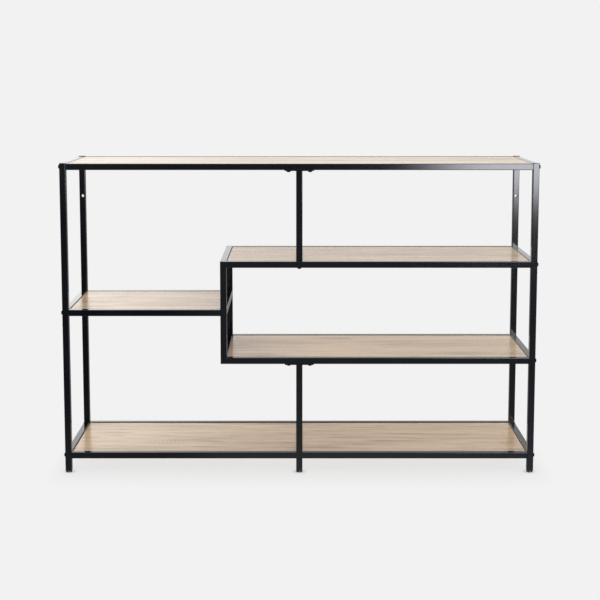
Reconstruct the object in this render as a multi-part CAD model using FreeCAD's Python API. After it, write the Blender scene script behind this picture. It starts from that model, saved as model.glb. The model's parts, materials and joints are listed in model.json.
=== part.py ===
import FreeCAD, Part
import os

from FreeCAD import Placement, Rotation, Vector

# Bookcase: a frame of square steel tube, bolted together from two side frames, long rails, a
# C-shaped step and centre posts, with five boards laid inside it on welded tabs.
# Millimetres. +X is right, +Y is towards the back, +Z is up. The origin is on the floor, under
# the middle of the frame.

# frame, over the outer faces of the tubes
frame_width = 1200.0
frame_depth = 300.0
frame_height = 794.0

# square tube
tube = 16.0
tube_wall = 1.2
tube_corner = 1.5

# undersides of the rails below the top
bottom_level = 37.0
lower_shelf_level = 284.0
left_shelf_level = 407.5
upper_shelf_level = 531.0

# places along the width
step_post_x = -192.0
centre_post_x = 0.0

# boards and what they lie on
board_thickness = 12.0
board_gap = 1.75            # round each board
board_edge = 0.6            # rounding of its edges
tab_thickness = 2.0
tab_lift = 1.3              # above the underside of the rail
bottom_tab_lift = 0.5       # the bottom board lies a little lower than the others
tab_width = 24.0
tab_reach = 18.0            # from the rail inwards
tab_corner = 5.0
tab_from_end = 91.0         # end of the rail to the middle of the first tab
screw_radius = 1.9
screw_length = 11.0
screw_head_radius = 4.0
screw_head_height = 2.4
screw_slot = 0.8

# button-head bolts and what takes them
bolt_radius = 3.0
bolt_clearance = 0.3        # of a plain hole, on the radius
thread_clearance = 0.05     # of a threaded hole, on the radius
bolt_head_radius = 5.25
bolt_head_height = 3.3
bolt_head_rim = 0.7
bolt_head_flat = 2.9        # radius of the flat top of the head
bolt_socket = 4.0           # across flats
bolt_socket_depth = 2.0
bolt_point = 0.6            # chamfer at the tip
frame_bolt_length = 25.0
plate_bolt_length = 12.0
plug_length = 12.0          # threaded plug in the end of a tube
plug_fit = 0.05             # of a plug in a tube, each side
nut_flats = 10.0
nut_height = 5.0

# head plates of the centre posts, and spigots for them and for the left shelf's rails
plate_length = 74.0
plate_thickness = 2.3
plate_corner = 3.0
plate_bolt_offset = 27.0    # from the middle of the post
spigot_length = 15.0
spigot_wall = 1.5
spigot_fit = 0.15

# caps, inserts and feet
cap_flange = 1.2
cap_round = 0.7
cap_wall = 1.4
cap_bolt_gap = 1.0          # between the cap's skirt and the bolt under it
insert_flange = 1.5
insert_length = 22.0
pad_radius = 8.0
pad_height = 4.5
pad_round = 0.7
pad_socket = 3.0
stud_radius = 3.0
stud_clearance = 0.05
stud_length = 23.0
stud_point = 0.6

# holes for fixing the rear uprights to a wall
wall_hole_radius = 4.25
wall_hole_drop = 108.0      # below the top of the frame

overshoot = 1.0             # of a cutter past what it cuts

# centre lines, faces and levels that follow from the sizes above
half_tube = tube / 2.0
tube_inside = tube - 2.0 * tube_wall
inside_corner = max(tube_corner - tube_wall, 0.2)
left_x = half_tube - frame_width / 2.0
right_x = frame_width / 2.0 - half_tube
front_y = half_tube - frame_depth / 2.0
rear_y = frame_depth / 2.0 - half_tube
left_face = left_x + half_tube
right_face = right_x - half_tube
step_left = step_post_x - half_tube
step_right = step_post_x + half_tube
top_level = frame_height - tube
leg_start = pad_height + insert_flange
stud_start = pad_height - pad_socket
rows = {"front": front_y, "rear": rear_y}

# level and the two ends of each shelf's long rails
shelves = {
    "top": (top_level, left_face, right_face),
    "upper_shelf": (upper_shelf_level, step_left, right_face),
    "left_shelf": (left_shelf_level, left_face, step_left),
    "lower_shelf": (lower_shelf_level, step_left, right_face),
    "bottom": (bottom_level, left_face, right_face),
}
tab_lifts = {shelf: bottom_tab_lift if shelf == "bottom" else tab_lift for shelf in shelves}
tab_counts = {"top": 3, "upper_shelf": 3, "left_shelf": 2, "lower_shelf": 3, "bottom": 3}
left_levels = {"top": top_level, "shelf": left_shelf_level, "bottom": bottom_level}
right_levels = {
    "top": top_level,
    "upper": upper_shelf_level,
    "lower": lower_shelf_level,
    "bottom": bottom_level,
}
step_levels = {"upper": upper_shelf_level, "middle": left_shelf_level, "lower": lower_shelf_level}
legs = {
    "left": left_x,
    "centre": centre_post_x,
    "right": right_x,
}
directions = {"x": Vector(1, 0, 0), "y": Vector(0, 1, 0), "z": Vector(0, 0, 1)}


def edges_along(shape, direction):
    return [edge for edge in shape.Edges
            if abs(edge.tangentAt(edge.FirstParameter).dot(direction)) > 0.999]


# a square bar along one axis, with its four long edges rounded
def square_bar(axis, start, end, centre, side, corner):
    low = centre - Vector(side, side, side) * 0.5
    size = Vector(side, side, side)
    setattr(low, axis, start)
    setattr(size, axis, end - start)
    bar = Part.makeBox(size.x, size.y, size.z, low)
    return bar.makeFillet(corner, edges_along(bar, directions[axis]))


def square_tube(axis, start, end, centre):
    outside = square_bar(axis, start, end, centre, tube, tube_corner)
    inside = square_bar(axis, start - overshoot, end + overshoot, centre, tube_inside, inside_corner)
    return outside.cut(inside)


# a cylinder from one point to another
def rod(start, end, radius):
    along = end - start
    return Part.makeCylinder(radius, along.Length, start, along)


def rail_centre(level):
    return level + half_tube


# a hole straight through a whole tube along one axis
def drill_through(shape, axis, centre, radius):
    reach = directions[axis] * (half_tube + overshoot)
    return shape.cut(rod(centre - reach, centre + reach, radius))


# a hexagonal bar standing on the XY plane
def hex_bar(flats, height, base):
    corner_radius = flats / 3.0 ** 0.5
    outline = Part.makePolygon([
        base + Rotation(Vector(0, 0, 1), 60.0 * turn).multVec(Vector(corner_radius, 0, 0))
        for turn in range(7)])
    return Part.Face(outline).extrude(Vector(0, 0, height))


# the corner of a tube that a 45 degree mitre takes off, seen along Y, as a wedge across the tube;
# outer and inner are the ends of the mitre, and waste is the corner on the side that goes
def mitre_wedge(outer, inner, waste, y):
    run = (inner - outer).normalize() * overshoot
    start = Vector(0, y - half_tube - overshoot, 0)
    beyond = waste + (waste - (outer + inner) * 0.5)
    corners = [outer - run, inner + run, beyond]
    outline = Part.makePolygon([point + start for point in corners + corners[:1]])
    return Part.Face(outline).extrude(Vector(0, tube + 2.0 * overshoot, 0))


def save(name, solids):
    shape = solids[0] if len(solids) == 1 else Part.makeCompound(solids)
    shape.exportStep(os.path.join("parts", name + ".step"))
    print(name, len(shape.Solids), "solid(s),", round(shape.Volume / 1000.0, 2), "cm3")


# M6 button-head bolt, its head seated at a point and its shank going in a direction
def bolt(seat, direction, length):
    rim = Vector(bolt_head_radius, 0, -bolt_head_rim)
    top = Vector(bolt_head_flat, 0, -bolt_head_height)
    bulge = (rim + top) * 0.5 + Vector(0.5, 0, -0.5)
    profile = Part.Wire([
        Part.makeLine(Vector(0, 0, 0), Vector(bolt_head_radius, 0, 0)),
        Part.makeLine(Vector(bolt_head_radius, 0, 0), rim),
        Part.Arc(rim, bulge, top).toShape(),
        Part.makeLine(top, Vector(0, 0, -bolt_head_height)),
        Part.makeLine(Vector(0, 0, -bolt_head_height), Vector(0, 0, 0)),
    ])
    head = Part.Face(profile).revolve(Vector(0, 0, 0), Vector(0, 0, 1), 360.0)
    socket = hex_bar(bolt_socket, bolt_socket_depth + overshoot,
                    Vector(0, 0, -bolt_head_height - overshoot))
    shank = Part.makeCylinder(bolt_radius, length - bolt_point)
    tip = Part.makeCone(bolt_radius, bolt_radius - bolt_point, bolt_point,
                        Vector(0, 0, length - bolt_point))
    whole = head.cut(socket).fuse([shank, tip]).removeSplitter()
    whole.Placement = Placement(seat, Rotation(Vector(0, 0, 1), direction))
    return whole


# pan-head wood screw, driven upwards, its head under the tab
def screw(seat):
    head = Part.makeCylinder(screw_head_radius, screw_head_height, seat, Vector(0, 0, -1))
    head = head.makeFillet(screw_head_height * 0.4, [head.Edges[0]])
    shank = rod(seat, seat + Vector(0, 0, screw_length - screw_radius), screw_radius)
    point = Part.makeCone(screw_radius, 0.2, screw_radius,
                          seat + Vector(0, 0, screw_length - screw_radius))
    whole = head.fuse([shank, point]).removeSplitter()
    for size in ((screw_head_radius, screw_slot), (screw_slot, screw_head_radius)):
        slot = Part.makeBox(size[0], size[1], screw_slot)
        slot.translate(seat - Vector(size[0] * 0.5, size[1] * 0.5, screw_head_height))
        whole = whole.cut(slot)
    return whole


# threaded plug in the end of a tube, flush with the end and going inwards
def threaded_plug(axis, end, inwards, centre):
    far = end + inwards * plug_length
    side = tube_inside - 2.0 * plug_fit
    plug = square_bar(axis, min(end, far), max(end, far), centre, side, tube_corner)
    middle = Vector(centre)
    setattr(middle, axis, (end + far) / 2.0)
    reach = directions[axis] * (plug_length / 2.0 + overshoot)
    return plug.cut(rod(middle - reach, middle + reach, bolt_radius + thread_clearance))


def build_uprights():
    hole = bolt_radius + bolt_clearance
    for side, x, levels in (("left", left_x, left_levels), ("right", right_x, right_levels)):
        for row, y in rows.items():
            upright = square_tube("z", leg_start, frame_height, Vector(x, y, 0))
            for level in levels.values():
                upright = drill_through(upright, "x", Vector(x, y, rail_centre(level)), hole)
            if row == "rear":
                wall_hole = Vector(x, y, frame_height - wall_hole_drop)
                upright = drill_through(upright, "y", wall_hole, wall_hole_radius)
            save(f"{side}_{row}_upright", [upright])


def build_end_rails():
    groups = (("left", left_x, left_levels), ("right", right_x, right_levels),
              ("step", step_post_x, step_levels))
    for group, x, levels in groups:
        for name, level in levels.items():
            centre = Vector(x, 0, rail_centre(level))
            rail = square_tube("y", front_y + half_tube, rear_y - half_tube, centre)
            save(f"{group}_{name}_end_rail", [rail])


def plate_bolt_places(level):
    return [Vector(centre_post_x + side * plate_bolt_offset, y, level)
            for y in rows.values() for side in (-1.0, 1.0)]


def build_long_rails():
    hole = bolt_radius + bolt_clearance
    for shelf, (level, left, right) in shelves.items():
        for row, y in rows.items():
            rail = square_tube("x", left, right, Vector(0, y, rail_centre(level)))
            if shelf in ("top", "lower_shelf"):
                for place in plate_bolt_places(level):
                    wall = rod(place - Vector(0, 0, overshoot),
                               place + Vector(0, 0, tube_wall + overshoot), hole)
                    rail = rail.cut(wall)
            if shelf == "upper_shelf":
                foot = Vector(centre_post_x, y, rail_centre(level))
                rail = drill_through(rail, "z", foot, hole)
                rail = rail.cut(mitre_wedge(Vector(step_left, 0, level + tube),
                                           Vector(step_right, 0, level),
                                           Vector(step_left, 0, level), y))
            if shelf == "lower_shelf":
                rail = rail.cut(mitre_wedge(Vector(step_left, 0, level),
                                           Vector(step_right, 0, level + tube),
                                           Vector(step_left, 0, level + tube), y))
            save(f"{shelf}_{row}_rail", [rail])


def build_step_posts():
    low = lower_shelf_level
    high = upper_shelf_level + tube
    for row, y in rows.items():
        post = square_tube("z", low, high, Vector(step_post_x, y, 0))
        post = post.cut(mitre_wedge(Vector(step_left, 0, high), Vector(step_right, 0, high - tube),
                                   Vector(step_right, 0, high), y))
        post = post.cut(mitre_wedge(Vector(step_left, 0, low), Vector(step_right, 0, low + tube),
                                   Vector(step_right, 0, low), y))
        save(f"step_{row}_post", [post])


def head_plate(y, level):
    plate = Part.makeBox(plate_length, tube, plate_thickness,
                         Vector(centre_post_x - plate_length / 2.0, y - half_tube,
                                level - plate_thickness))
    plate = plate.makeFillet(plate_corner, edges_along(plate, directions["z"]))
    for place in plate_bolt_places(level):
        plate = plate.cut(rod(place - Vector(0, 0, plate_thickness + overshoot),
                              place + Vector(0, 0, overshoot), bolt_radius + bolt_clearance))
    return plate


def build_centre_posts():
    spans = {
        "upper": (upper_shelf_level + tube, top_level),
        "lower": (bottom_level + tube, lower_shelf_level),
    }
    for name, (low, high) in spans.items():
        for row, y in rows.items():
            post = square_tube("z", low, high - plate_thickness, Vector(centre_post_x, y, 0))
            save(f"{name}_centre_{row}_post", [post])
        save(f"{name}_head_plates", [head_plate(y, high) for y in rows.values()])
    for row, y in rows.items():
        leg = square_tube("z", leg_start, bottom_level, Vector(centre_post_x, y, 0))
        save(f"centre_{row}_leg", [leg])


# short square sleeve, welded to one tube, over which the end of another goes
def spigot(axis, start, centre):
    end = start + spigot_length
    side = tube_inside - 2.0 * spigot_fit
    sleeve = square_bar(axis, start, end, centre, side, tube_corner)
    return sleeve.cut(square_bar(axis, start - overshoot, end + overshoot, centre,
                                side - 2.0 * spigot_wall, inside_corner))


def build_spigots():
    shelf = rail_centre(left_shelf_level)
    under_posts = [spigot("z", bottom_level + tube, Vector(centre_post_x, y, 0))
                   for y in rows.values()]
    in_rails = [spigot("x", step_left - spigot_length, Vector(0, y, shelf))
                for y in rows.values()]
    save("tube_spigots", under_posts + in_rails)


def board_ends(shelf):
    level, left, right = shelves[shelf]
    return (step_right if shelf in ("upper_shelf", "lower_shelf") else left), right


# the middle of each tab's inner end, on the face of its rail, and the way it reaches in
def tab_places(shelf):
    left, right = board_ends(shelf)
    level = shelves[shelf][0] + tab_lifts[shelf]
    count = tab_counts[shelf]
    step = (right - left - 2.0 * tab_from_end) / (count - 1)
    faces = ((front_y + half_tube, 1.0), (rear_y - half_tube, -1.0))
    return [(Vector(left + tab_from_end + index * step, y, level), inwards)
            for y, inwards in faces for index in range(count)]


def screw_place(face, inwards):
    return face + Vector(0, inwards * tab_reach / 2.0, 0)


def board_tab(face, inwards):
    low_y = face.y if inwards > 0 else face.y - tab_reach
    tab = Part.makeBox(tab_width, tab_reach, tab_thickness,
                       Vector(face.x - tab_width / 2.0, low_y, face.z))
    free_edges = [edge for edge in edges_along(tab, directions["z"])
                  if abs(edge.CenterOfMass.y - face.y) > tab_reach / 2.0]
    tab = tab.makeFillet(tab_corner, free_edges)
    hole = screw_place(face, inwards)
    return tab.cut(rod(hole - Vector(0, 0, overshoot),
                       hole + Vector(0, 0, tab_thickness + overshoot),
                       screw_radius + bolt_clearance))


def build_boards():
    tabs = []
    screws = []
    for shelf in shelves:
        left, right = board_ends(shelf)
        low = shelves[shelf][0] + tab_lifts[shelf] + tab_thickness
        half_depth = frame_depth / 2.0 - tube - board_gap
        board = Part.makeBox(right - left - 2.0 * board_gap, 2.0 * half_depth, board_thickness,
                             Vector(left + board_gap, -half_depth, low))
        board = board.makeFillet(board_edge, board.Edges)
        for face, inwards in tab_places(shelf):
            tabs.append(board_tab(face, inwards))
            seat = screw_place(face, inwards)
            screws.append(screw(seat))
            pilot = rod(seat, seat + Vector(0, 0, screw_length + thread_clearance),
                        screw_radius + thread_clearance)
            board = board.cut(pilot)
        save(f"{shelf}_board", [board])
    save("board_tabs", tabs)
    save("board_screws", screws)


def build_frame_bolts():
    bolts = []
    plugs = []
    right_way = directions["x"]
    for y in rows.values():
        for level in left_levels.values():
            z = rail_centre(level)
            bolts.append(bolt(Vector(left_x - half_tube, y, z), right_way, frame_bolt_length))
            plugs.append(threaded_plug("x", left_face, 1.0, Vector(0, y, z)))
        for level in right_levels.values():
            z = rail_centre(level)
            bolts.append(bolt(Vector(right_x + half_tube, y, z), -right_way, frame_bolt_length))
            plugs.append(threaded_plug("x", right_face, -1.0, Vector(0, y, z)))
        foot = Vector(centre_post_x, y, upper_shelf_level)
        bolts.append(bolt(foot, directions["z"], frame_bolt_length))
        plugs.append(threaded_plug("z", upper_shelf_level + tube, 1.0, foot))
    save("frame_bolts", bolts)
    save("threaded_plugs", plugs)


def build_plate_bolts():
    bolts = []
    nuts = []
    for level in (top_level, lower_shelf_level):
        for place in plate_bolt_places(level):
            seat = place - Vector(0, 0, plate_thickness)
            bolts.append(bolt(seat, directions["z"], plate_bolt_length))
            base = place + Vector(0, 0, tube_wall)
            nut = hex_bar(nut_flats, nut_height, base)
            bore = rod(base - Vector(0, 0, overshoot), base + Vector(0, 0, nut_height + overshoot),
                       bolt_radius + thread_clearance)
            nuts.append(nut.cut(bore))
    save("plate_bolts", bolts)
    save("weld_nuts", nuts)


def upright_cap(x, y):
    centre = Vector(x, y, 0)
    flange = square_bar("z", frame_height, frame_height + cap_flange, centre, tube, tube_corner)
    top_face = max(flange.Faces, key=lambda face: face.CenterOfMass.z)
    flange = flange.makeFillet(cap_round, top_face.Edges)
    skirt_low = frame_height - (half_tube - bolt_radius - cap_bolt_gap)
    side = tube_inside - 2.0 * plug_fit
    skirt = square_bar("z", skirt_low, frame_height, centre, side, tube_corner)
    skirt = skirt.cut(square_bar("z", skirt_low - overshoot, frame_height, centre,
                                side - 2.0 * cap_wall, inside_corner))
    return flange.fuse(skirt).removeSplitter()


def foot_insert(x, y):
    centre = Vector(x, y, 0)
    flange = square_bar("z", pad_height, leg_start, centre, tube, tube_corner)
    side = tube_inside - 2.0 * plug_fit
    plug = square_bar("z", leg_start, leg_start + insert_length, centre, side, tube_corner)
    bore = rod(Vector(x, y, pad_height - overshoot),
               Vector(x, y, leg_start + insert_length + overshoot), stud_radius + stud_clearance)
    return flange.fuse(plug).removeSplitter().cut(bore)


def foot_pad(x, y):
    pad = Part.makeCylinder(pad_radius, pad_height, Vector(x, y, 0))
    base = min(pad.Faces, key=lambda face: face.CenterOfMass.z)
    pad = pad.makeFillet(pad_round, base.Edges)
    return pad.cut(rod(Vector(x, y, stud_start), Vector(x, y, pad_height + overshoot),
                       stud_radius + stud_clearance))


def foot_stud(x, y):
    top = stud_start + stud_length - stud_point
    shank = rod(Vector(x, y, stud_start), Vector(x, y, top), stud_radius)
    tip = Part.makeCone(stud_radius, stud_radius - stud_point, stud_point, Vector(x, y, top))
    return shank.fuse(tip).removeSplitter()


def build_caps_and_feet():
    save("upright_caps", [upright_cap(x, y) for x in (left_x, right_x) for y in rows.values()])
    save("foot_inserts", [foot_insert(x, y) for x in legs.values() for y in rows.values()])
    for side, x in legs.items():
        for row, y in rows.items():
            save(f"{side}_{row}_foot_pad", [foot_pad(x, y)])
            save(f"{side}_{row}_foot_stud", [foot_stud(x, y)])


os.makedirs("parts", exist_ok=True)
build_uprights()
build_end_rails()
build_long_rails()
build_step_posts()
build_centre_posts()
build_spigots()
build_boards()
build_frame_bolts()
build_plate_bolts()
build_caps_and_feet()
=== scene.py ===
import json
import math

import bmesh
import bpy
from mathutils import Matrix, Vector


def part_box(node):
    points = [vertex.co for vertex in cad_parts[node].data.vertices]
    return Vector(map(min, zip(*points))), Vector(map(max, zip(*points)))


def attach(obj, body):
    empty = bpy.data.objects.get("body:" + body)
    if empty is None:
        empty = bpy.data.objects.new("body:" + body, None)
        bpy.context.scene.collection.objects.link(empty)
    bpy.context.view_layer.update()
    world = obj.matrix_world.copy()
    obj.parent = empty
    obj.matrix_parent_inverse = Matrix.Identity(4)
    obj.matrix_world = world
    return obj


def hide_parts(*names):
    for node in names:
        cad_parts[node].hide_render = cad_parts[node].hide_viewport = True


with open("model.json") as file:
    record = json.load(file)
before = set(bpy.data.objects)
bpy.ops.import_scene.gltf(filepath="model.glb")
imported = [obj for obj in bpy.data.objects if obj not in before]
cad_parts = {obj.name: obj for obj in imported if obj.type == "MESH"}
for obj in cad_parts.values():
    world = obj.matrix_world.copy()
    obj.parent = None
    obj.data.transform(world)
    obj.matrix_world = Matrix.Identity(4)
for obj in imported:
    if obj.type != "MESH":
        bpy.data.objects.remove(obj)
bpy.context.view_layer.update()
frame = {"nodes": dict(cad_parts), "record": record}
print("frame loaded:", len(frame["nodes"]), "nodes")

mm = 0.001
zAxis = Vector((0, 0, 1))


class Wire:  # a shader socket that takes part in arithmetic
    def __init__(self, tree, socket=None):
        self.tree = tree
        self.socket = socket

    def add(self, kind, settings=None, inputs=None, output=0):
        node = self.tree.nodes.new(kind)
        for name, value in (settings or {}).items():
            setattr(node, name, value)
        for name, value in (inputs or {}).items():
            if isinstance(value, Wire):
                self.tree.links.new(value.socket, node.inputs[name])
            else:
                node.inputs[name].default_value = value
        return Wire(self.tree, node.outputs[output] if node.outputs else None)

    def math(self, operation, *values):
        return self.add("ShaderNodeMath", {"operation": operation}, dict(enumerate(values)))

    def __add__(self, other):
        return self.math("ADD", self, other)

    __radd__ = __add__

    def __sub__(self, other):
        return self.math("SUBTRACT", self, other)

    def __rsub__(self, other):
        return self.math("SUBTRACT", other, self)

    def __neg__(self):
        return 0.0 - self

    def __mul__(self, other):
        return self.math("MULTIPLY", self, other)

    __rmul__ = __mul__

    def __truediv__(self, other):
        return self.math("DIVIDE", self, other)

    def __pow__(self, other):
        return self.math("POWER", self, other)

    def atLeast(self, other):
        return self.math("MAXIMUM", self, other)

    def size(self):
        return self.math("ABSOLUTE", self)

    def ramp(self, low, high):  # 0 below low, 1 above high, smooth between
        settings = {"interpolation_type": "SMOOTHSTEP"}
        return self.add("ShaderNodeMapRange", settings, {0: self, 1: low, 2: high})

    def parts(self):  # X, Y and Z of a vector
        split = self.add("ShaderNodeSeparateXYZ", None, {0: self})
        return [Wire(self.tree, out) for out in split.socket.node.outputs]

    def scaled(self, *factors):
        settings = {"operation": "MULTIPLY"}
        return self.add("ShaderNodeVectorMath", settings, {0: self, 1: factors})

    def moved(self, offset):
        return self.add("ShaderNodeVectorMath", {"operation": "ADD"}, {0: self, 1: offset})

    def length(self):
        return self.add("ShaderNodeVectorMath", {"operation": "LENGTH"}, {0: self}, 1)

    def noise(self, scale, detail=2.0, roughness=0.5, distortion=0.0):
        inputs = {"Vector": self, "Scale": scale, "Detail": detail, "Roughness": roughness,
                  "Distortion": distortion}
        return self.add("ShaderNodeTexNoise", None, inputs)

    def mixed(self, low, high):  # a colour between two others, by this value
        settings = {"data_type": "RGBA"}
        return self.add("ShaderNodeMix", settings, {0: self, 6: low, 7: high}, 2)


def newMaterial(name):
    material = bpy.data.materials.new(name)
    material.use_nodes = True
    material.node_tree.nodes.clear()
    shade = Wire(material.node_tree)
    coords = shade.add("ShaderNodeTexCoord", output="Object")
    return material, shade, coords


def finishMaterial(shade, inputs, bumps=()):
    normal = None
    for height, distance in bumps:
        settings = {"Height": height, "Distance": distance, "Strength": 1.0}
        if normal:
            settings["Normal"] = normal
        normal = shade.add("ShaderNodeBump", None, settings)
    if normal:
        inputs = {**inputs, "Normal": normal}
    surface = shade.add("ShaderNodeBsdfPrincipled", None, inputs)
    shade.add("ShaderNodeOutputMaterial", None, {"Surface": surface})


def rgb(red, green, blue):
    return (red, green, blue, 1.0)


# black powder coat on the tubes, plates and tabs
powderCoat = {
    "black": rgb(0.0026, 0.0028, 0.0042),
    "faded": rgb(0.0048, 0.0051, 0.0070),
    "worn": rgb(0.0200, 0.0205, 0.0225),
    "roughness": 0.09,
    "specular": 0.42,
    "toneNoise": (7.0, 3.0, 0.60),   # each noise: counts per metre, detail, roughness
    "peelNoise": (820.0, 2.0, 0.45),
    "grainNoise": (3600.0, 2.0, 0.60),
    "wearNoise": (60.0, 4.0, 0.70),
    "toneRange": (0.35, 0.70),       # where a noise goes from none to all
    "wearRange": (0.50, 0.68),
    "wearShare": 0.55,
    "peelDepth": 0.003 * mm,
    "grainDepth": 0.0005 * mm,
}
cornerLean = (0.80, 0.985)  # largest part of the normal, on a rounded corner and on a flat side


def cornerMask(shade):  # 1 where a face leans between two axes, as on a rounded corner
    normal = shade.add("ShaderNodeNewGeometry", output="True Normal")
    leans = [part.size() for part in normal.parts()]
    flat = leans[0].atLeast(leans[1]).atLeast(leans[2])
    return 1.0 - flat.ramp(*cornerLean)


def makePowderCoat():
    material, shade, coords = newMaterial("blackPowderCoat")
    coat = powderCoat
    broad = coords.noise(*coat["toneNoise"])
    peel = coords.noise(*coat["peelNoise"])
    grain = coords.noise(*coat["grainNoise"])
    rub = coords.noise(*coat["wearNoise"]).ramp(*coat["wearRange"]) * cornerMask(shade)
    tone = broad.ramp(*coat["toneRange"]) * 0.6 + grain * 0.3
    colour = (rub * coat["wearShare"]).mixed(tone.mixed(coat["black"], coat["faded"]), coat["worn"])
    roughness = coat["roughness"] + (broad - 0.5) * 0.03 + (grain - 0.5) * 0.04 + rub * 0.10
    finishMaterial(shade, {"Base Color": colour, "Roughness": roughness,
                           "Specular IOR Level": coat["specular"]},
                   ((peel, coat["peelDepth"]), (grain, coat["grainDepth"])))
    return material


# light oak laminate of the boards, its grain along X
oak = {
    "pale": rgb(0.775, 0.575, 0.372),
    "middle": rgb(0.572, 0.404, 0.240),
    "deep": rgb(0.300, 0.198, 0.114),
    "dark": rgb(0.120, 0.082, 0.052),
    "roughness": 0.23,
    "specular": 0.50,
    "poreDepth": 0.03 * mm,
    "boardStep": 37.0,               # how far the figure moves on from one board to the next
    # each layer: counts per metre along and across, detail, roughness, offset, distortion
    "bands": (0.9, 11.0, 3.0, 0.55, 0.0, 0.6),
    "figure": (3.2, 45.0, 6.0, 0.62, 4.3, 0.9),
    "streaks": (6.0, 95.0, 7.0, 0.66, 9.1, 0.5),
    "fibre": (9.0, 620.0, 4.0, 0.60, 2.7, 0.0),
    "pores": (34.0, 1500.0, 2.0, 0.55, 6.1, 0.0),
    "knots": (5.0, 15.0, 2.0, 0.50, 17.3, 0.3),
    "sawMarks": (230.0, 24.0, 2.0, 0.50, 5.9, 0.0),
    "ticksPerMetre": 95.0,
    "tickWander": 5.0,
    "spotFade": (0.35, 1.25),        # from the middle of a mark to its rim, in half sizes
    # each mark: board, middle x and y, half length, half width, strength
    "ticks": ("bottom_board", -0.345, -0.049, 0.080, 0.020, 0.60),
    "paleMarks": (
        ("lower_shelf_board", 0.090, -0.010, 0.170, 0.110, 0.75),
        ("bottom_board", -0.450, 0.020, 0.170, 0.100, 0.70),
        ("left_shelf_board", -0.430, -0.030, 0.140, 0.090, 0.50),
        ("upper_shelf_board", 0.180, 0.040, 0.150, 0.060, 0.40),
    ),
    "marks": (
        # the first mark, at the lower shelf's left end beside the step post, is painted shade from
        # the step, with some of the wood's own dark figure
        ("lower_shelf_board", -0.165, 0.010, 0.085, 0.110, 0.70),
        ("lower_shelf_board", -0.110, -0.096, 0.100, 0.014, 0.80),
        ("bottom_board", -0.500, 0.036, 0.070, 0.014, 0.70),
        ("bottom_board", -0.310, 0.100, 0.120, 0.014, 0.60),
        ("bottom_board", -0.235, -0.050, 0.055, 0.010, 0.90),
        ("bottom_board", -0.030, -0.058, 0.032, 0.016, 0.80),
        ("bottom_board", 0.062, -0.096, 0.060, 0.018, 0.70),
        ("bottom_board", 0.140, -0.010, 0.080, 0.014, 0.60),
        ("bottom_board", 0.550, -0.055, 0.035, 0.014, 0.60),
        ("left_shelf_board", -0.270, 0.116, 0.070, 0.014, 0.60),
        ("left_shelf_board", -0.300, -0.017, 0.110, 0.012, 0.40),
        ("upper_shelf_board", -0.090, 0.030, 0.060, 0.040, 0.30),
        ("upper_shelf_board", 0.035, -0.100, 0.060, 0.014, 0.50),
        ("top_board", 0.215, 0.112, 0.120, 0.014, 0.80),
        ("top_board", 0.480, 0.075, 0.120, 0.012, 0.50),
    ),
}


def makeOak():
    material, shade, coords = newMaterial("lightOakLaminate")
    along = coords.parts()[0]

    def grain(layer):
        lengthwise, crosswise, detail, roughness, offset, distortion = oak[layer]
        point = coords.scaled(lengthwise, crosswise, oak["boardStep"])
        point = point.moved((offset, offset * 0.7, 0.0))
        return point.noise(1.0, detail, roughness, distortion)

    def spot(node, middleX, middleY, halfLength, halfWidth, strength):
        low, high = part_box(node)
        reach = high.z - low.z
        point = coords.moved((-middleX, -middleY, -(low.z + high.z) / 2))
        apart = point.scaled(1 / halfLength, 1 / halfWidth, 1 / reach).length()
        return (1.0 - apart.ramp(*oak["spotFade"])) * strength

    def anyOf(spots):
        total = spot(*spots[0])
        for item in spots[1:]:
            total = total.atLeast(spot(*item))
        return total

    bands, figure, streaks = grain("bands"), grain("figure"), grain("streaks")
    fibre, pores, knots = grain("fibre"), grain("pores"), grain("knots")
    blend = bands.ramp(0.38, 0.62) * 0.60 + figure.ramp(0.38, 0.62) * 0.40
    colour = blend.mixed(oak["pale"], oak["middle"])
    colour = anyOf(oak["paleMarks"]).mixed(colour, oak["pale"])
    shadowed = figure.ramp(0.50, 0.64) * bands.ramp(0.38, 0.58)
    colour = (shadowed * 0.60 + streaks.ramp(0.50, 0.66) * 0.55).mixed(colour, oak["deep"])
    # dark marks in the wood, and one painted shade beside the step post on the lower shelf
    marks = anyOf(oak["marks"]) * (0.55 + streaks.ramp(0.40, 0.58) * 0.55)
    colour = marks.mixed(colour, oak["deep"])
    saw = grain("sawMarks")
    phase = along * (oak["ticksPerMetre"] * math.tau) + saw * oak["tickWander"]
    wave = shade.math("SINE", phase)
    ticks = wave.ramp(0.10, 0.90) * saw.ramp(0.38, 0.58) * spot(*oak["ticks"])
    cracks = knots.ramp(0.60, 0.72) * streaks.ramp(0.52, 0.62) * 0.55
    colour = ticks.atLeast(cracks).mixed(colour, oak["dark"])
    pits = pores.ramp(0.57, 0.66) * (0.35 + streaks.ramp(0.35, 0.65) * 0.65)
    colour = (fibre.ramp(0.44, 0.62) * 0.24).mixed(colour, oak["deep"])
    colour = (pits * 0.50).mixed(colour, oak["dark"])
    roughness = oak["roughness"] + (figure - 0.5) * 0.08 + (fibre - 0.5) * 0.06 + pits * 0.10
    relief = fibre * 0.5 - streaks * 0.3 - ticks * 0.4 - pits * 0.6
    finishMaterial(shade, {"Base Color": colour, "Roughness": roughness,
                           "Specular IOR Level": oak["specular"]},
                   ((relief, oak["poreDepth"]),))
    return material


# black moulded plastic of the caps, inserts and foot pads
plastic = {
    "dark": rgb(0.008, 0.008, 0.009),
    "pale": rgb(0.020, 0.020, 0.022),
    "toneNoise": (40.0, 2.0, 0.50),
    "sparkNoise": (5200.0, 2.0, 0.50),
    "toneShare": 0.6,
    "sparkShare": 0.4,
    "sparkDepth": 0.012 * mm,
    "roughness": 0.26,
    "roughnessSpread": 0.14,
    "specular": 0.50,
}


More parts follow.
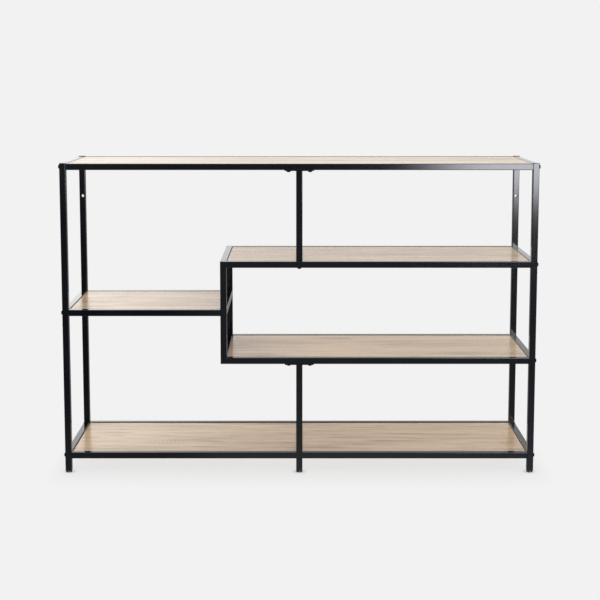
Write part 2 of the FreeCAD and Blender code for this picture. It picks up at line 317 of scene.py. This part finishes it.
def makePlastic():
    material, shade, coords = newMaterial("blackMouldedPlastic")
    spark = coords.noise(*plastic["sparkNoise"])
    tone = coords.noise(*plastic["toneNoise"]) * plastic["toneShare"] + spark * plastic["sparkShare"]
    roughness = plastic["roughness"] + (spark - 0.5) * plastic["roughnessSpread"]
    finishMaterial(shade, {"Base Color": tone.mixed(plastic["dark"], plastic["pale"]),
                           "Roughness": roughness, "Specular IOR Level": plastic["specular"]},
                   ((spark, plastic["sparkDepth"]),))
    return material


# black coating over turned steel, on the bolts
boltCoat = {
    "black": rgb(0.005, 0.005, 0.006),
    "worn": rgb(0.060, 0.058, 0.056),
    "fineNoise": (2400.0, 3.0, 0.60),
    "wearNoise": (260.0, 3.0, 0.60),
    "wearRange": (0.58, 0.72),
    "wearShare": 0.5,
    "fineDepth": 0.010 * mm,
    "roughness": 0.52,
    "roughnessSpread": 0.18,
    "specular": 0.08,
}


def makeBoltCoat():
    material, shade, coords = newMaterial("blackBoltCoating")
    fine = coords.noise(*boltCoat["fineNoise"])
    rub = coords.noise(*boltCoat["wearNoise"]).ramp(*boltCoat["wearRange"]) * cornerMask(shade)
    colour = (rub * boltCoat["wearShare"]).mixed(boltCoat["black"], boltCoat["worn"])
    roughness = boltCoat["roughness"] + (fine - 0.5) * boltCoat["roughnessSpread"]
    finishMaterial(shade, {"Base Color": colour, "Roughness": roughness,
                           "Specular IOR Level": boltCoat["specular"]},
                   ((fine, boltCoat["fineDepth"]),))
    return material


# plated steel of the studs, plugs, nuts and screws
zinc = {
    "cold": rgb(0.50, 0.51, 0.53),
    "warm": rgb(0.66, 0.65, 0.61),
    "fineNoise": (1800.0, 4.0, 0.65),
    "toneNoise": (140.0, 2.0, 0.50),
    "fineDepth": 0.008 * mm,
    "roughness": 0.30,
    "fineSpread": 0.25,
    "toneSpread": 0.12,
}


def makeZinc():
    material, shade, coords = newMaterial("platedSteel")
    fine = coords.noise(*zinc["fineNoise"])
    tone = coords.noise(*zinc["toneNoise"])
    roughness = zinc["roughness"] + (fine - 0.5) * zinc["fineSpread"]
    roughness = roughness + (tone - 0.5) * zinc["toneSpread"]
    finishMaterial(shade, {"Base Color": tone.mixed(zinc["cold"], zinc["warm"]), "Metallic": 1.0,
                           "Roughness": roughness},
                   ((fine, zinc["fineDepth"]),))
    return material


coatMaterial = makePowderCoat()
oakMaterial = makeOak()
plasticMaterial = makePlastic()
boltMaterial = makeBoltCoat()
zincMaterial = makeZinc()
slotMaterials = {
    "black_tube": coatMaterial,
    "oak_board": oakMaterial,
    "black_plastic": plasticMaterial,
    "black_bolt": boltMaterial,
    "zinc_steel": zincMaterial,
}
for row in frame["record"]["subparts"]:
    mesh = frame["nodes"][row["node"]].data
    mesh.materials.clear()
    mesh.materials.append(slotMaterials[row["material_slot"]])
print("materials made")


def corners(points):
    low = Vector([min(point[axis] for point in points) for axis in range(3)])
    high = Vector([max(point[axis] for point in points) for axis in range(3)])
    return low, high


def solidsOf(node):  # the points of each separate solid in a CAD node, in the mesh's own order
    bm = bmesh.new()
    bm.from_mesh(frame["nodes"][node].data)
    bmesh.ops.remove_doubles(bm, verts=bm.verts, dist=0.001 * mm)
    seen = set()
    found = []
    for first in bm.verts:
        if first in seen:
            continue
        seen.add(first)
        queue = [first]
        points = []
        while queue:
            vert = queue.pop()
            points.append(vert.co.copy())
            for edge in vert.link_edges:
                other = edge.other_vert(vert)
                if other not in seen:
                    seen.add(other)
                    queue.append(other)
        found.append(points)
    bm.free()
    return found


def camelCase(name):  # left_front becomes leftFront
    first, *others = name.split("_")
    return first + "".join(word.title() for word in others)


def makePiece(bm, name, body, nodes, materials):
    bmesh.ops.recalc_face_normals(bm, faces=bm.faces)
    mesh = bpy.data.meshes.new(name)
    bm.to_mesh(mesh)
    bm.free()
    piece = bpy.data.objects.new(name, mesh)
    bpy.context.scene.collection.objects.link(piece)
    for material in materials:
        mesh.materials.append(material)
    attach(piece, body)
    if nodes:
        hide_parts(*nodes)
    return piece


def smooth(piece, degrees):  # smooth faces, kept sharp past this angle
    piece.data.shade_smooth()
    piece.data.set_sharp_from_angle(angle=math.radians(degrees))


def turnedTo(direction):
    return zAxis.rotation_difference(direction).to_matrix().to_4x4()


def addCopies(bm, pattern, placements):  # one more copy of a mesh for each matrix
    for placement in placements:
        start = len(bm.verts)
        bm.from_mesh(pattern)
        bm.verts.ensure_lookup_table()
        bmesh.ops.transform(bm, matrix=placement, verts=bm.verts[start:])


def quarterTurn(steps):  # sine and cosine at even steps from 0 to 90 degrees
    angles = [math.pi / 2 * step / steps for step in range(steps + 1)]
    return [(math.sin(angle), math.cos(angle)) for angle in angles]


def turnedProfile(bm, outline, segments):  # an outline of (radius, height), spun about Z
    verts = [bm.verts.new((radius, 0, height)) for radius, height in outline]
    edges = [bm.edges.new(pair) for pair in zip(verts, verts[1:])]
    bmesh.ops.spin(bm, geom=verts + edges, cent=(0, 0, 0), axis=zAxis, angle=math.tau,
                   steps=segments, use_merge=True)
    bmesh.ops.remove_doubles(bm, verts=bm.verts, dist=0.002 * mm)


# a V-section ridge wound round a core, from one height to another
thread = {
    "sunk": 0.05 * mm,       # how deep the ridge stands in the core
    "rootHalf": 0.46,        # half widths, as shares of the pitch
    "crestHalf": 0.06,
}


def addThread(bm, radius, depth, pitch, low, high, segments):
    turns = (high - low) / pitch - 1.0
    steps = int(turns * segments)
    root = radius - depth - thread["sunk"]
    wide, narrow = thread["rootHalf"], thread["crestHalf"]
    section = [(root, -wide), (radius, -narrow), (radius, narrow), (root, wide)]
    verts = [bm.verts.new((across, 0, low + (along + 0.5) * pitch)) for across, along in section]
    face = bm.faces.new(verts)
    geom = [face] + list(face.edges) + verts
    bmesh.ops.spin(bm, geom=geom, cent=(0, 0, 0), axis=zAxis, angle=math.tau * steps / segments,
                   dvec=(0, 0, pitch / segments), steps=steps)
    openEdges = [edge for edge in bm.edges if edge.is_boundary]
    if openEdges:
        bmesh.ops.holes_fill(bm, edges=openEdges)


def patternMesh(bm, name):
    bmesh.ops.recalc_face_normals(bm, faces=bm.faces)
    mesh = bpy.data.meshes.new(name)
    bm.to_mesh(mesh)
    bm.free()
    return mesh


def sinkRecess(bm, mouth, depth, narrow=1.0):  # walls down from a loop of edges, and a floor
    walls = bmesh.ops.extrude_edge_only(bm, edges=mouth)["geom"]
    deep = [item for item in walls if isinstance(item, bmesh.types.BMVert)]
    bmesh.ops.translate(bm, vec=(0, 0, depth), verts=deep)
    bmesh.ops.scale(bm, vec=(narrow, narrow, 1.0), verts=deep)
    floorEdges = [item for item in walls if isinstance(item, bmesh.types.BMEdge)]
    bmesh.ops.contextual_create(bm, geom=floorEdges)


# five boards: a laminated panel with a thin band round its edges
board = {
    "edgeRound": 0.6 * mm,
    "roundSteps": 3,
    "bandWidth": 0.8 * mm,
    "bandGroove": 0.04 * mm,
    "panelArea": 0.01,       # square metres, more than any band's face
    "sharpAngle": 40.0,
}


def flatFaces(bm, area=0.0):  # faces that look up or down and are larger than this
    return [face for face in bm.faces if abs(face.normal.z) > 0.999 and face.calc_area() > area]


def makeBoard(node):
    low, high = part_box(node)
    groove = board["bandGroove"]
    bm = bmesh.new()
    bmesh.ops.create_cube(bm, size=1.0)
    bmesh.ops.scale(bm, vec=high - low, verts=bm.verts)
    bmesh.ops.translate(bm, vec=(low + high) / 2, verts=bm.verts)
    bmesh.ops.bevel(bm, geom=bm.edges, offset=board["edgeRound"], segments=board["roundSteps"],
                    profile=0.5, affect="EDGES", material=-1)
    bmesh.ops.inset_individual(bm, faces=flatFaces(bm), thickness=board["bandWidth"], depth=0.0)
    for depth in (-groove, groove):  # down into the groove and up again
        bmesh.ops.inset_individual(bm, faces=flatFaces(bm, board["panelArea"]), thickness=groove,
                                   depth=depth)
    piece = makePiece(bm, camelCase(node) + "Panel", "frame", [node], [oakMaterial])
    smooth(piece, board["sharpAngle"])


for node in ("top_board", "upper_shelf_board", "left_shelf_board", "lower_shelf_board",
             "bottom_board"):
    makeBoard(node)
print("boards made")


# M6 button-head bolts with their threads
bolt = {
    "radius": 3.0 * mm,
    "threadDepth": 0.6 * mm,
    "pitch": 1.0 * mm,
    "plainNeck": 1.2 * mm,
    "threadStart": 0.3 * mm,   # from the neck
    "threadEnd": 0.2 * mm,     # from the tip
    "tipChamfer": 0.5 * mm,
    "headRadius": 5.25 * mm,
    "headHeight": 3.3 * mm,
    "headRim": 0.7 * mm,
    "rimBreak": 0.1 * mm,
    "flatRadius": 2.9 * mm,
    "domeSteps": 7,
    "socketRadius": 2.31 * mm,
    "socketMouth": 1.06,       # its round mouth, against the hexagon's corners
    "socketDepth": 2.0 * mm,
    "segments": 32,
    "threadSegments": 16,
    "turnEach": 0.0,
    "sharpAngle": 35.0,
}


def boltPattern(length):
    bm = bmesh.new()
    core = bolt["radius"] - bolt["threadDepth"]
    head, rim, flat = bolt["headHeight"], bolt["headRim"], bolt["flatRadius"]
    dome = [(bolt["socketRadius"] * bolt["socketMouth"], -head)]
    for sine, cosine in quarterTurn(bolt["domeSteps"]):  # the head's rounded shoulder
        dome.append((flat + (bolt["headRadius"] - flat) * sine, -rim - (head - rim) * cosine))
    outline = dome + [
        (bolt["headRadius"], -bolt["rimBreak"]),
        (bolt["headRadius"] - bolt["rimBreak"], 0.0),
        (bolt["radius"], 0.0),
        (bolt["radius"], bolt["plainNeck"]),
        (core, bolt["plainNeck"] + bolt["threadDepth"]),
        (core, length - bolt["tipChamfer"]),
        (core - bolt["tipChamfer"], length),
        (0.0, length),
    ]
    turnedProfile(bm, outline, bolt["segments"])
    # the hexagonal socket closes the top of the head
    rimEdges = [edge for edge in bm.edges if edge.is_boundary]
    ring = bmesh.ops.create_circle(bm, cap_ends=False, segments=6, radius=bolt["socketRadius"],
                                   matrix=Matrix.Translation((0, 0, -head)))
    mouth = list(dict.fromkeys(edge for vert in ring["verts"] for edge in vert.link_edges))
    bmesh.ops.bridge_loops(bm, edges=rimEdges + mouth)
    sinkRecess(bm, mouth, bolt["socketDepth"])
    addThread(bm, bolt["radius"], bolt["threadDepth"], bolt["pitch"],
              bolt["plainNeck"] + bolt["threadStart"], length - bolt["threadEnd"],
              bolt["threadSegments"])
    return patternMesh(bm, "boltPattern")


def fastenerPlace(points, sizes):  # where a bolt or screw of the frame stands, and its length
    low, high = corners(points)
    size = high - low
    axis = max(range(3), key=lambda index: size[index])
    middle = (low + high) / 2
    along = Vector([1.0 if index == axis else 0.0 for index in range(3)])
    nearLow = [point for point in points if point[axis] < low[axis] + sizes["headHeight"] / 2]
    wide = max((point - middle - along * (point - middle).dot(along)).length for point in nearLow)
    headLow = wide > (sizes["radius"] + sizes["headRadius"]) / 2
    direction = along if headLow else -along
    seat = middle.copy()
    seat[axis] = (low if headLow else high)[axis] + direction[axis] * sizes["headHeight"]
    return seat, direction, size[axis] - sizes["headHeight"]


def makeFasteners(node, name, material, sizes, makePattern):  # all of one length
    placements = []
    for index, points in enumerate(solidsOf(node)):
        seat, direction, length = fastenerPlace(points, sizes)
        turn = Matrix.Rotation(sizes["turnEach"] * index, 4, "Z")
        placements.append(Matrix.Translation(seat) @ turnedTo(direction) @ turn)
    pattern = makePattern(length)
    bm = bmesh.new()
    addCopies(bm, pattern, placements)
    bpy.data.meshes.remove(pattern)
    piece = makePiece(bm, name, "frame", [node], [material])
    smooth(piece, sizes["sharpAngle"])


makeFasteners("frame_bolts", "frameBolts", boltMaterial, bolt, boltPattern)
makeFasteners("plate_bolts", "headPlateBolts", boltMaterial, bolt, boltPattern)
print("bolts made")


# pan-head wood screws under the boards
screw = {
    "radius": 1.9 * mm,
    "threadDepth": 0.6 * mm,
    "pitch": 1.8 * mm,
    "headRadius": 4.0 * mm,
    "headHeight": 2.4 * mm,
    "flatRadius": 2.464 * mm,
    "domeSteps": 5,
    "rimShare": 0.3,           # of the head's height, below the dome
    "recessArm": 2.2 * mm,
    "recessWidth": 0.9 * mm,
    "recessDepth": 1.3 * mm,
    "recessNarrow": 0.72,      # its floor, against its mouth
    "neckShare": 0.95,
    "neckLength": 0.8 * mm,
    "pointLength": 2.0 * mm,
    "threadStart": 0.6 * mm,
    "threadEnd": 1.6 * mm,     # from the tip
    "segments": 20,
    "threadSegments": 12,
    "turnEach": 0.7,           # radians from one screw to the next
    "sharpAngle": 35.0,
}


def screwPattern(length):
    bm = bmesh.new()
    core = screw["radius"] - screw["threadDepth"]
    head, flat = screw["headHeight"], screw["flatRadius"]
    arm, half = screw["recessArm"], screw["recessWidth"] / 2
    cross = [(arm, -half), (arm, half), (half, half), (half, arm), (-half, arm), (-half, half),
             (-arm, half), (-arm, -half), (-half, -half), (-half, -arm), (half, -arm),
             (half, -half)]
    outline = [(flat, -head)]
    for sine, cosine in quarterTurn(screw["domeSteps"])[1:]:
        height = screw["rimShare"] + (1.0 - screw["rimShare"]) * cosine
        outline.append((flat + (screw["headRadius"] - flat) * sine, -head * height))
    outline += [
        (screw["headRadius"], 0.0),
        (screw["radius"] * screw["neckShare"], 0.0),
        (core, screw["neckLength"]),
        (core, length - screw["pointLength"]),
        (0.0, length),
    ]
    turnedProfile(bm, outline, screw["segments"])
    rimEdges = [edge for edge in bm.edges if edge.is_boundary]
    verts = [bm.verts.new((x, y, -head)) for x, y in cross]
    mouth = [bm.edges.new(pair) for pair in zip(verts, verts[1:] + verts[:1])]
    bmesh.ops.triangle_fill(bm, use_beauty=True, edges=rimEdges + mouth, normal=-zAxis)
    inside = [face for face in bm.faces if all(vert in verts for vert in face.verts)]
    bmesh.ops.delete(bm, geom=inside, context="FACES_ONLY")
    sinkRecess(bm, mouth, screw["recessDepth"], screw["recessNarrow"])
    addThread(bm, screw["radius"], screw["threadDepth"], screw["pitch"], screw["threadStart"],
              length - screw["threadEnd"], screw["threadSegments"])
    return patternMesh(bm, "screwPattern")


makeFasteners("board_screws", "boardScrews", zincMaterial, screw, screwPattern)
print("screws made")


# levelling feet: a threaded stud in a fluted pad
foot = {
    "studRadius": 3.0 * mm,
    "threadDepth": 0.6 * mm,
    "pitch": 1.0 * mm,
    "threadSegments": 20,
    "threadStart": 0.1 * mm,
    "threadEnd": 0.2 * mm,     # from the top
    "tipChamfer": 0.5 * mm,
    "padRound": 0.7 * mm,
    "padTopRound": 0.4 * mm,
    "roundSteps": 5,
    "studGap": 0.05 * mm,
    "flutes": 24,
    "fluteDepth": 0.35 * mm,
    "ringRadius": 4.4 * mm,    # middle of the groove under the pad
    "ringMouth": 1.2 * mm,     # its half widths
    "ringFloor": 0.8 * mm,
    "ringDepth": 0.4 * mm,
    "studSharpAngle": 35.0,
    "padSharpAngle": 40.0,
}


def placeFootPiece(bm, corner, part, material):  # up from the origin to where its node stands
    node = corner + "_foot_" + part
    low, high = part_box(node)
    middle = (low + high) / 2
    bmesh.ops.translate(bm, vec=(middle.x, middle.y, low.z), verts=bm.verts)
    return makePiece(bm, camelCase(corner) + "Foot" + part.title(), corner + "_foot", [node],
                     [material])


def makeStud(corner):
    low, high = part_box(corner + "_foot_stud")
    height = high.z - low.z
    core = foot["studRadius"] - foot["threadDepth"]
    bm = bmesh.new()
    outline = [(0.0, 0.0), (core, 0.0), (core, height - foot["tipChamfer"]),
               (core - foot["tipChamfer"], height), (0.0, height)]
    turnedProfile(bm, outline, foot["threadSegments"])
    addThread(bm, foot["studRadius"], foot["threadDepth"], foot["pitch"], foot["threadStart"],
              height - foot["threadEnd"], foot["threadSegments"])
    piece = placeFootPiece(bm, corner, "stud", zincMaterial)
    smooth(piece, foot["studSharpAngle"])


def cutFlutes(bm, radius, height):  # grip flutes round the side of a pad
    for vert in bm.verts:
        across = math.hypot(vert.co.x, vert.co.y)
        onSide = across > radius - 0.5 * foot["padRound"]
        if onSide and foot["padRound"] * 0.8 < vert.co.z < height - foot["padTopRound"] / 2:
            wave = 0.5 - 0.5 * math.cos(foot["flutes"] * math.atan2(vert.co.y, vert.co.x))
            shrink = 1.0 - foot["fluteDepth"] * wave / across
            vert.co.x *= shrink
            vert.co.y *= shrink


def makePad(corner):
    low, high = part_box(corner + "_foot_pad")
    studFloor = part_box(corner + "_foot_stud")[0].z - low.z
    radius = (high.x - low.x) / 2
    height = high.z - low.z
    lowRound, topRound = foot["padRound"], foot["padTopRound"]
    ring, bore = foot["ringRadius"], foot["studRadius"] + foot["studGap"]
    bm = bmesh.new()
    outline = [(0.0, 0.0), (ring - foot["ringMouth"], 0.0),
               (ring - foot["ringFloor"], foot["ringDepth"]),
               (ring + foot["ringFloor"], foot["ringDepth"]), (ring + foot["ringMouth"], 0.0)]
    for sine, cosine in quarterTurn(foot["roundSteps"]):
        outline.append((radius - lowRound * (1 - sine), lowRound * (1 - cosine)))
    outline += [(radius, height - topRound), (radius - topRound, height), (bore, height),
                (bore, studFloor), (0.0, studFloor)]
    turnedProfile(bm, outline, foot["flutes"] * 4)
    cutFlutes(bm, radius, height)
    piece = placeFootPiece(bm, corner, "pad", plasticMaterial)
    smooth(piece, foot["padSharpAngle"])


footCorners = [side + "_" + row for side in ("left", "centre", "right")
               for row in ("front", "rear")]
for corner in footCorners:
    makeStud(corner)
    makePad(corner)
print("feet made")


# short weld beads under the tabs, beside the head plates and above the centre legs
weld = {
    "radius": 1.0 * mm,
    "ripple": 1.3 * mm,   # length of one ripple
    "rippleDepth": 0.12,
    "endSize": 0.3,
    "endTaper": 4,           # power of the bead's outline, blunter with a higher one
    "sides": 10,
    "tabInset": 3.0 * mm,
    "tabOut": 0.2,           # the bead's middle, out from the rail and up from the tab, in radii
    "tabUp": 0.35,
    "postInset": 1.5 * mm,
    "sharpAngle": 50.0,
}


def beadPattern(length):  # a rippled bead that rises this far from the origin
    bm = bmesh.new()
    rings = max(4, int(2 * length / weld["ripple"]))
    radius = weld["radius"] * weld["endSize"]
    end = bmesh.ops.create_circle(bm, cap_ends=True, segments=weld["sides"], radius=radius)
    face = end["verts"][0].link_faces[0]
    for index in range(1, rings + 1):
        face = bmesh.ops.extrude_discrete_faces(bm, faces=[face])["faces"][0]
        along = 2.0 * index / rings - 1.0
        swell = 1.0 - weld["rippleDepth"] * (index % 2)
        taper = max(weld["endSize"], math.sqrt(1.0 - along ** weld["endTaper"]))
        target = weld["radius"] * swell * taper
        bmesh.ops.translate(bm, vec=(0, 0, length / rings), verts=face.verts)
        bmesh.ops.scale(bm, vec=(target / radius, target / radius, 1.0), verts=face.verts)
        radius = target
    return patternMesh(bm, "beadPattern")


def beadRuns():  # where each bead starts and ends
    runs = []
    for points in solidsOf("board_tabs"):
        low, high = corners(points)
        out = weld["radius"] * weld["tabOut"]
        y = low.y + out if low.y + high.y < 0 else high.y - out
        z = low.z + weld["radius"] * weld["tabUp"]
        runs.append((Vector((low.x + weld["tabInset"], y, z)),
                     Vector((high.x - weld["tabInset"], y, z))))
    for row in ("front", "rear"):
        for post in ("upper_centre_" + row + "_post", "lower_centre_" + row + "_post",
                     "centre_" + row + "_leg"):
            low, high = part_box(post)
            for x in (low.x, high.x):
                runs.append((Vector((x, low.y + weld["postInset"], high.z)),
                             Vector((x, high.y - weld["postInset"], high.z))))
    return runs


def makeWelds():
    bm = bmesh.new()
    for start, end in beadRuns():
        pattern = beadPattern((end - start).length)
        addCopies(bm, pattern, [Matrix.Translation(start) @ turnedTo((end - start).normalized())])
        bpy.data.meshes.remove(pattern)
    piece = makePiece(bm, "weldBeads", "frame", [], [coatMaterial])
    smooth(piece, weld["sharpAngle"])


makeWelds()
print("weld beads made")


# plain pale floor, and the same tone all round
studio = {
    "backdrop": 0.887,       # what the camera sees behind the object
    "floorSize": 14.0,
    "halfLength": 0.60,      # the floor under the object takes its shadow
    "halfDepth": 0.15,
    "fadeStart": 0.0,        # metres outside that rectangle where the shadow starts to fade
    "fadeEnd": 0.16,
    "endFade": 2.6,          # how much faster it fades beyond the two ends
    "shadowShare": 0.20,
    "footReach": 0.030,      # metres round each foot where the floor takes its full shadow
    "footShare": 0.55,
    "floorAlbedo": rgb(0.790, 0.803, 0.818),
}


def makeFloor():
    bm = bmesh.new()
    bmesh.ops.create_grid(bm, x_segments=2, y_segments=2, size=studio["floorSize"])
    mesh = bpy.data.meshes.new("studioFloor")
    bm.to_mesh(mesh)
    bm.free()
    floor = bpy.data.objects.new("studioFloor", mesh)
    bpy.context.scene.collection.objects.link(floor)
    material, shade, coords = newMaterial("paleFloor")
    x, y = coords.parts()[:2]
    outX = (x.size() - studio["halfLength"]).atLeast(0.0) * studio["endFade"]
    outY = (y.size() - studio["halfDepth"]).atLeast(0.0)
    away = (outX * outX + outY * outY) ** 0.5
    near = (1.0 - away.ramp(studio["fadeStart"], studio["fadeEnd"])) * studio["shadowShare"]
    for corner in footCorners:
        low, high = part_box(corner + "_foot_pad")
        offX, offY = x - (low.x + high.x) / 2, y - (low.y + high.y) / 2
        apart = (offX * offX + offY * offY) ** 0.5
        close = 1.0 - apart.ramp((high.x - low.x) / 2, studio["footReach"])
        near = near.atLeast(close * studio["footShare"])
    lit = shade.add("ShaderNodeBsdfDiffuse", None, {"Color": studio["floorAlbedo"]})
    even = shade.add("ShaderNodeEmission", None, {"Color": rgb(1, 1, 1),
                                                  "Strength": studio["backdrop"]})
    mixed = shade.add("ShaderNodeMixShader", None, {0: near, 1: even, 2: lit})
    shade.add("ShaderNodeOutputMaterial", None, {"Surface": mixed})
    mesh.materials.append(material)
    floor.visible_glossy = False


# soft light from above and behind; the sides and the part in front at the camera's height are dark
light = {
    "overhead": 0.85,
    "upper": 1.58,           # in front, above eye level
    "upperBack": 1.18,
    "side": 0.30,
    "backLow": 1.22,         # behind, close to the horizon
    "back": 0.70,            # behind, higher up
    "backLeft": 1.15,        # how much brighter the back is towards the left
    "backRight": 0.20,       # and how much darker towards the right, close to the horizon
    "floorGloss": 0.28,      # what gloss picks up from the floor
    "frontDim": 0.12,
    "frontTint": rgb(0.965, 0.995, 1.060),
    "frontFloor": 0.52,
    "leftShare": 0.15,       # how much of that dim light is left over at the left
    "leftGlow": 0.20,
    "softbox": 16.0,         # front right, only just below eye level
}

# where each part of that light sets in and is whole, in parts of a direction of length one
reach = {
    "leftward": (0.0, 0.18),
    "rightward": (0.04, 0.17),
    "sidesUp": (0.10, 0.18),
    "backUp": (0.11, 0.24),
    "backward": (0.45, 0.80),
    "upperBackward": (-0.3, 0.3),
    "upperUp": (0.30, 0.50),
    "overheadUp": (0.55, 0.95),
    "floorDown": (-0.02, 0.04),
    "frontward": (0.80, 0.93),
    "frontTop": (0.22, 0.42),
    "frontBottom": (0.38, 0.60),
}

# the same for what is in front, in metres to the right, up or down for each metre ahead
frontReach = {
    "dimRight": (-0.10, -0.06),
    "dimDown": (0.06, 0.17),
    "floorDown": (0.24, 0.36),
    "glowLeft": (0.05, 0.16),
    "glowUp": (-0.115, -0.07),
    "boxLeft": (0.078, 0.155),   # the softbox fades in and out at its four sides
    "boxBottom": (-0.106, -0.086),
    "boxRight": (0.55, 0.85),
    "boxTop": (0.10, 0.35),
}


def frontLight(x, y, z):  # the pattern that faces towards the camera pick up
    ahead = (-y).atLeast(0.05)
    across = x / ahead
    lift = z / ahead
    drop = -lift
    leftShare = light["leftShare"]
    share = leftShare + across.ramp(*frontReach["dimRight"]) * (1.0 - leftShare)
    dim = light["frontDim"] * (1.0 + drop.ramp(*frontReach["dimDown"])) * share
    floor = drop.ramp(*frontReach["floorDown"]) * light["frontFloor"] * (0.5 + share * 0.5)
    glow = (-across).ramp(*frontReach["glowLeft"]) * lift.ramp(*frontReach["glowUp"])
    box = across.ramp(*frontReach["boxLeft"]) * lift.ramp(*frontReach["boxBottom"])
    box = box * (1.0 - across.ramp(*frontReach["boxRight"]))
    box = box * (1.0 - lift.ramp(*frontReach["boxTop"]))
    return dim + floor + glow * light["leftGlow"] + box * light["softbox"]


def makeWorld():
    world = bpy.data.worlds.new("softStudio")
    world.use_nodes = True
    world.node_tree.nodes.clear()
    bpy.context.scene.world = world
    shade = Wire(world.node_tree)
    x, y, z = shade.add("ShaderNodeTexCoord", output="Generated").parts()
    leftward = (-x).ramp(*reach["leftward"]) * z.ramp(*reach["sidesUp"])
    back = light["backLow"] + z.ramp(*reach["backUp"]) * (light["back"] - light["backLow"])
    rightward = x.ramp(*reach["rightward"]) * (1.0 - z.ramp(*reach["sidesUp"]))
    back = back * (1.0 + leftward * light["backLeft"] - rightward * light["backRight"])
    level = light["side"] + y.ramp(*reach["backward"]) * (back - light["side"])
    upper = light["upperBack"] - light["upper"]
    high = light["upper"] + y.ramp(*reach["upperBackward"]) * upper
    above = level + z.ramp(*reach["upperUp"]) * (high - level)
    above = above + z.ramp(*reach["overheadUp"]) * (light["overhead"] - above)
    broad = above + (-z).ramp(*reach["floorDown"]) * (light["floorGloss"] - above)
    front = (-y).ramp(*reach["frontward"]) * (1.0 - z.ramp(*reach["frontTop"]))
    front = front * (1.0 - (-z).ramp(*reach["frontBottom"]))
    strength = broad + front * (frontLight(x, y, z) - broad)
    seen = shade.add("ShaderNodeLightPath", output="Is Camera Ray")
    strength = strength + seen * (studio["backdrop"] - strength)
    tint = (front * (1.0 - seen)).mixed(rgb(1, 1, 1), light["frontTint"])
    sky = shade.add("ShaderNodeBackground", None, {"Color": tint, "Strength": strength})
    shade.add("ShaderNodeOutputWorld", None, {"Surface": sky})


# about three metres in front and one above the floor, tipped a little down
camera = {
    "place": (-0.0010, -3.2794, 1.0132),
    "pitch": 6.5,
    "lens": 75.364,
    "shift": (0.0018, -0.1360),
    "clip": (0.05, 60.0),
}


def makeCamera():
    data = bpy.data.cameras.new("frontCamera")
    data.lens = camera["lens"]
    data.shift_x, data.shift_y = camera["shift"]
    data.clip_start, data.clip_end = camera["clip"]
    eye = bpy.data.objects.new("frontCamera", data)
    bpy.context.scene.collection.objects.link(eye)
    eye.location = camera["place"]
    eye.rotation_euler = (math.radians(90.0 - camera["pitch"]), 0.0, 0.0)
    bpy.context.scene.camera = eye


makeFloor()
makeWorld()
makeCamera()
bpy.context.scene.view_settings.view_transform = "Standard"
print("stage, light and camera made")
